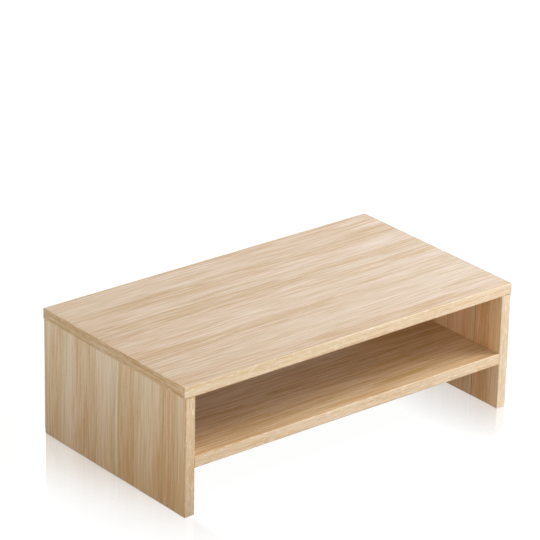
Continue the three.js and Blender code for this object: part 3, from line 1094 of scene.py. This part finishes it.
lamps = {  # place and size in metres, power in watts; two low ones would glare on the top
    "farLeft": {
        "place": (-1.8, -0.4, 0.7), "size": 1.0, "power": 7.6, "colour": (1, 0.95, 0.865), "shine": False},
    "leftBack": {"place": (-1.7, 0.9, 0.6), "size": 0.8, "power": 3.3, "colour": (1, 1, 0.98)},
    "leftFront": {"place": (-1.25, -1.3, 0.4), "size": 0.7, "power": 5.2, "colour": (1, 0.955, 0.885)},
    "lowFront": {"place": (0.2, -1.6, 0.35), "size": 0.8, "power": 1.35, "colour": (1, 1, 1)},
    "frontRight": {
        "place": (0.75, -1.15, 0.35), "size": 0.6, "power": 2.45, "colour": (0.98, 0.99, 1), "shine": False},
    "highFront": {"place": (0.1, -1.2, 1.2), "size": 0.9, "power": 3.9, "colour": (1, 0.98, 0.945)},
    "highRight": {"place": (1.5, -0.6, 1.6), "size": 1.3, "power": 51, "colour": (1, 0.985, 0.955)},
    "backLeft": {"place": (-1.1, 1.3, 1.2), "size": 0.9, "power": 4.7, "colour": (1, 1, 0.98)},
    "lowBack": {"place": (0, 1.7, 0.45), "size": 0.9, "power": 4.6, "colour": (1, 0.975, 0.93)},
    "backRight": {"place": (1.2, 1.4, 1.2), "size": 0.9, "power": 3.9, "colour": (1, 1, 1)},
}
lampAim = (0, 0, 0.07)


def addLamps():
    for name, lamp in lamps.items():
        deselectAll()
        bpy.ops.object.light_add(type="AREA", location=lamp["place"])
        light = bpy.context.object
        light.name = name + "Lamp"
        light.data.energy = lamp["power"]
        light.data.size = lamp["size"]
        light.data.color = lamp["colour"]
        light.visible_glossy = lamp.get("shine", True)
        sight = Vector(lampAim) - Vector(lamp["place"])
        light.rotation_mode = "QUATERNION"
        light.rotation_quaternion = sight.to_track_quat("-Z", "Y")


studio = {
    "ambient": 0.0,  # the world's light on the stand
    "floorSize": 60,  # metres
    "floorDrop": 0.05,  # mm below the panels' feet
    "floor": (0.45, 0.40, 0.33, 1),  # what the floor gives back to the stand
    "sweepLight": 0.22,  # and its own light
    "sweepColour": (1, 0.97, 0.94, 1),
    "card": (0.10, 0.045, 0.015, 1),  # painted shade: a dim card on it, seen only by the light that falls on the stand, under the stand where its shadow falls and beside its left side, darkening that side towards its foot
    "cardWidth": 0.22,  # metres, on the left
    "cardDepth": 0.24,
    "cardFeather": 0.10,
    "shadow": 0.07,  # how much of the seen floor is lit by the lamps
    "glow": 0.975,  # the seen floor's own white by the stand, growing to one
    "glowReach": 1.5,  # metres
    "polish": 0.54,  # how much the floor mirrors, right beside a panel
    "polishInBay": 0.74,  # and the share of that in the bay
    "warmReflectionTint": (1, 0.98, 0.945, 1),  # painted reflection: the floor's glowing white turns warm where it mirrors the wood
    "polishReach": 0.08,  # metres
    "polishWay": (-0.64, -0.77),  # to the front left, where it fades
    "polishTurn": (0.10, 0.26),  # from the stand's middle to where that starts and stops, metres
    "polishLeft": 0.3,  # the share that stays there
    "polishRoughness": 0.08,
}


def addSeen(tree):  # one for rays that see the studio, none for those that light the stand
    ray = tree.nodes.new("ShaderNodeLightPath").outputs
    seen = addMath(tree, "MAXIMUM", ray["Is Camera Ray"], ray["Is Glossy Ray"])
    return addMath(tree, "MAXIMUM", seen, ray["Is Transmission Ray"])


def joinShaders(tree, kind, *values):  # kind is Add or Mix
    node = tree.nodes.new("ShaderNode" + kind + "Shader")
    for socket, value in zip(node.inputs, values):
        feed(tree, socket, value)
    return node.outputs[0]


def addWorld():
    world = bpy.data.worlds.new("studio_world")
    bpy.context.scene.world = world
    world.use_nodes = True
    tree = world.node_tree
    tree.nodes.clear()
    backgrounds = []
    for strength in (studio["ambient"], 1.0):
        background = tree.nodes.new("ShaderNodeBackground")
        background.inputs["Color"].default_value = (1, 1, 1, 1)
        background.inputs["Strength"].default_value = strength
        backgrounds.append(background.outputs[0])
    output = tree.nodes.new("ShaderNodeOutputWorld")
    feed(tree, output.inputs["Surface"], joinShaders(tree, "Mix", addSeen(tree), *backgrounds))


def addDistance(tree, x, y, middle, halfWidth, halfDepth):  # from a box on the floor and its twin across x
    beside = less(tree, addMath(tree, "ABSOLUTE", x), middle)
    beside = less(tree, addMath(tree, "ABSOLUTE", beside), halfWidth)
    before = less(tree, addMath(tree, "ABSOLUTE", y), halfDepth)
    ways = [addMath(tree, "MAXIMUM", part, 0.0) for part in (beside, before)]
    return addMath(tree, "SQRT", addAll(tree, *[addMath(tree, "POWER", way, 2.0) for way in ways]))


def addFloor():
    deselectAll()
    bpy.ops.mesh.primitive_plane_add(size=studio["floorSize"], location=(0, 0, -studio["floorDrop"] * mm))
    floor = bpy.context.object
    floor.name = "studio_floor"
    applyPlace(floor)
    material = bpy.data.materials.new("white_floor")
    material.use_nodes = True
    tree = material.node_tree
    tree.nodes.clear()
    x, y = splitXyz(tree, tree.nodes.new("ShaderNodeTexCoord").outputs["Object"])[:2]

    # what lights the stand: a pale floor, and a dim warm card on it that paints shade under the stand and
    # beside its left side
    fromStand = addDistance(tree, x, y, 0.0, cadBox[1][0], cadBox[1][1])
    cardLow = cadBox[0][0] - studio["cardWidth"]
    cardHigh = cadBox[1][0] - studio["cardFeather"]
    besideCard = less(tree, x, (cardLow + cardHigh) / 2)
    fromCard = addDistance(tree, besideCard, y, 0.0, (cardHigh - cardLow) / 2, studio["cardDepth"] / 2)
    share = addRange(tree, fromCard, 0.0, studio["cardFeather"])
    dull = tree.nodes.new("ShaderNodeBsdfDiffuse")
    feed(tree, dull.inputs["Color"], addMix(tree, share, studio["card"], studio["floor"]))
    sweep = tree.nodes.new("ShaderNodeEmission")
    sweep.inputs["Color"].default_value = studio["sweepColour"]
    feed(tree, sweep.inputs["Strength"], times(tree, share, studio["sweepLight"]))
    bounce = joinShaders(tree, "Add", dull.outputs[0], sweep.outputs[0])

    # what the camera sees: white that keeps a little shadow, and mirrors what stands close, with a painted
    # warm reflection of the wood in its white there
    lit = tree.nodes.new("ShaderNodeBsdfDiffuse")
    lit.inputs["Color"].default_value = (studio["shadow"],) * 3 + (1,)
    glow = tree.nodes.new("ShaderNodeEmission")
    strength = addRange(tree, fromStand, 0.0, studio["glowReach"], studio["glow"], 1.0)
    feed(tree, glow.inputs["Strength"], strength)
    white = joinShaders(tree, "Add", lit.outputs[0], glow.outputs[0])
    mirror = tree.nodes.new("ShaderNodeBsdfGlossy")
    mirror.inputs["Color"].default_value = (1, 1, 1, 1)
    mirror.inputs["Roughness"].default_value = studio["polishRoughness"]
    panelLow, panelHigh = boxOf(["right_panel_outer_laminate", "right_panel_inner_laminate"])
    panelMiddle = (panelLow.x + panelHigh.x) / 2
    fromPanel = addDistance(tree, x, y, panelMiddle, panelHigh.x - panelMiddle, panelHigh.y)
    polish = addRange(tree, fromPanel, 0.0, studio["polishReach"], studio["polish"], 0.0, smooth=False)
    outside = addRange(tree, x, -panelHigh.x, -panelLow.x, 1.0, 0.0)  # none in the bay's left part
    inBay = addRange(tree, x, 0.0, panelLow.x / 2, 0.0, studio["polishInBay"])
    polish = times(tree, polish, addAll(tree, outside, inBay))
    towards = addAll(tree, *[times(tree, part, way) for part, way in zip((x, y), studio["polishWay"])])
    polish = times(tree, polish, addRange(tree, towards, *studio["polishTurn"], 1.0, studio["polishLeft"]))
    # painted reflection: the glow warms with the mirror's share
    tint = addMix(tree, times(tree, polish, 1 / studio["polish"]), (1, 1, 1, 1), studio["warmReflectionTint"])
    feed(tree, glow.inputs["Color"], tint)
    polished = joinShaders(tree, "Mix", polish, white, mirror.outputs[0])
    output = tree.nodes.new("ShaderNodeOutputMaterial")
    feed(tree, output.inputs["Surface"], joinShaders(tree, "Mix", addSeen(tree), bounce, polished))
    floor.data.materials.append(material)


addCamera()
addLamps()
addWorld()
addFloor()
bpy.context.scene.view_settings.view_transform = "Standard"
print("studio set")
